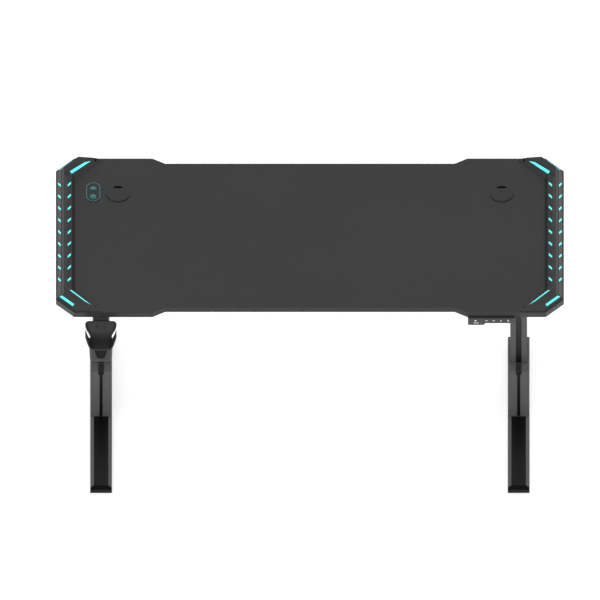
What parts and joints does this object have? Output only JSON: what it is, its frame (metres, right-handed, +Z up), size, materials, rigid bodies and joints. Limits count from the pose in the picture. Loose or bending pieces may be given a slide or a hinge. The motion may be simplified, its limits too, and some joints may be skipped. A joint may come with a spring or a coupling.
{
  "type": "gaming desk",
  "caption": "Electric height-adjustable gaming desk with a woven-look top, lit angular end frames, two telescopic legs, cable grommets, a key panel and a cup holder",
  "frame": {"origin": "middle of the underside of the part's box, on the floor, with the lift fully down", "axes": "X runs along the desk to the user's right, Y from the user's side to the rear, Z up"},
  "size_m": [1.4, 0.678, 0.7415],
  "materials": {
    "board": "wood board with a matt dark laminate in a woven carbon pattern",
    "frame": "moulded, fine satin grain",
    "light": "clear diffusing plastic, lit cyan",
    "led_strip": "flexible circuit strip",
    "pad": "smooth touch surface with lit outline and icons",
    "leg_paint": "dark grey powder coat",
    "trim": "black satin",
    "black_paint": "black powder coat",
    "steel": "bright drawn steel",
    "glide": "natural low friction plastic",
    "nut": "drawn tube with a plain nut",
    "screw": "black zinc plating",
    "plastic": "black fine grain",
    "control": "dark grey satin",
    "display": "dark window with lit digits",
    "circuit": "green solder mask",
    "rubber": "matt black",
    "cup": "dark grey fine grain"
  },
  "bodies": {
    "base": {"left_foot": "leg_paint", "right_foot": "leg_paint", "left_foot_insert": "trim", "right_foot_insert": "trim", "left_foot_caps": "plastic", "right_foot_caps": "plastic", "left_base_cover": "leg_paint", "right_base_cover": "leg_paint", "left_base_strip": "trim", "right_base_strip": "trim", "left_outer_column": "leg_paint", "right_outer_column": "leg_paint", "left_column_strip": "trim", "right_column_strip": "trim", "left_glides": "glide", "right_glides": "glide", "left_nut_tube": "nut", "right_nut_tube": "nut", "foot_bolts": "screw"},
    "top": {"desktop": "board", "left_end_frame": "frame", "right_end_frame": "frame", "left_light_lenses": "light", "right_light_lenses": "light", "left_light_strip": "led_strip", "right_light_strip": "led_strip", "touch_pad": "pad", "left_grommet_sleeve": "plastic", "right_grommet_sleeve": "plastic", "left_inner_column": "leg_paint", "right_inner_column": "leg_paint", "left_drive_unit": "black_paint", "right_drive_unit": "black_paint", "left_top_bracket": "black_paint", "right_top_bracket": "black_paint", "front_rail": "black_paint", "rear_rail": "black_paint", "board_screws": "screw", "control_box": "plastic", "motor_leads": "rubber", "controller_lead": "rubber", "controller_housing": "control", "controller_display": "display", "controller_board": "circuit", "cup_holder": "cup", "cup_holder_bracket": "black_paint"},
    "left_front_leveller": {"left_front_leveller": "rubber"},
    "left_rear_leveller": {"left_rear_leveller": "rubber"},
    "right_front_leveller": {"right_front_leveller": "rubber"},
    "right_rear_leveller": {"right_rear_leveller": "rubber"},
    "left_grommet_cap": {"left_grommet_cap": "frame"},
    "right_grommet_cap": {"right_grommet_cap": "frame"},
    "left_spindle": {"left_spindle": "steel"},
    "right_spindle": {"right_spindle": "steel"},
    "memory_key": {"memory_key": "control"},
    "up_key": {"up_key": "control"},
    "down_key": {"down_key": "control"},
    "preset_one_key": {"preset_one_key": "control"},
    "preset_two_key": {"preset_two_key": "control"}
  },
  "joints": [
    {"name": "lift", "type": "slide", "parent": "base", "child": "top", "axis": [0, 0, 1], "range_m": [0, 0.46]},
    {"name": "left_front_leveller_screw", "type": "slide", "parent": "base", "child": "left_front_leveller", "axis": [0, 0, -1], "range_m": [0, 0.008]},
    {"name": "left_rear_leveller_screw", "type": "slide", "parent": "base", "child": "left_rear_leveller", "axis": [0, 0, -1], "range_m": [0, 0.008]},
    {"name": "right_front_leveller_screw", "type": "slide", "parent": "base", "child": "right_front_leveller", "axis": [0, 0, -1], "range_m": [0, 0.008]},
    {"name": "right_rear_leveller_screw", "type": "slide", "parent": "base", "child": "right_rear_leveller", "axis": [0, 0, -1], "range_m": [0, 0.008]},
    {"name": "left_cap_turn", "type": "hinge", "parent": "top", "child": "left_grommet_cap", "pos_m": [-0.5287, 0.204, 0.7215], "axis": [0, 0, 1], "continuous": true},
    {"name": "right_cap_turn", "type": "hinge", "parent": "top", "child": "right_grommet_cap", "pos_m": [0.5287, 0.204, 0.7215], "axis": [0, 0, 1], "continuous": true},
    {"name": "left_spindle_turn", "type": "hinge", "parent": "top", "child": "left_spindle", "pos_m": [-0.5754, 0.101, 0.6], "axis": [0, 0, 1], "range_deg": [0, 16600]},
    {"name": "right_spindle_turn", "type": "hinge", "parent": "top", "child": "right_spindle", "pos_m": [0.5754, 0.101, 0.6], "axis": [0, 0, 1], "range_deg": [0, 16600]},
    {"name": "memory_key_press", "type": "slide", "parent": "top", "child": "memory_key", "axis": [0, 1, 0], "range_m": [0, 0.001], "stiffness_N_per_m": 1200, "springref_m": -0.0005},
    {"name": "up_key_press", "type": "slide", "parent": "top", "child": "up_key", "axis": [0, 1, 0], "range_m": [0, 0.001], "stiffness_N_per_m": 1200, "springref_m": -0.0005},
    {"name": "down_key_press", "type": "slide", "parent": "top", "child": "down_key", "axis": [0, 1, 0], "range_m": [0, 0.001], "stiffness_N_per_m": 1200, "springref_m": -0.0005},
    {"name": "preset_one_key_press", "type": "slide", "parent": "top", "child": "preset_one_key", "axis": [0, 1, 0], "range_m": [0, 0.001], "stiffness_N_per_m": 1200, "springref_m": -0.0005},
    {"name": "preset_two_key_press", "type": "slide", "parent": "top", "child": "preset_two_key", "axis": [0, 1, 0], "range_m": [0, 0.001], "stiffness_N_per_m": 1200, "springref_m": -0.0005}
  ],
  "couplings": [
    {"joint": "left_spindle_turn", "follows": "lift", "rad_per_m": 628.32},
    {"joint": "right_spindle_turn", "follows": "lift", "rad_per_m": 628.32}
  ]
}
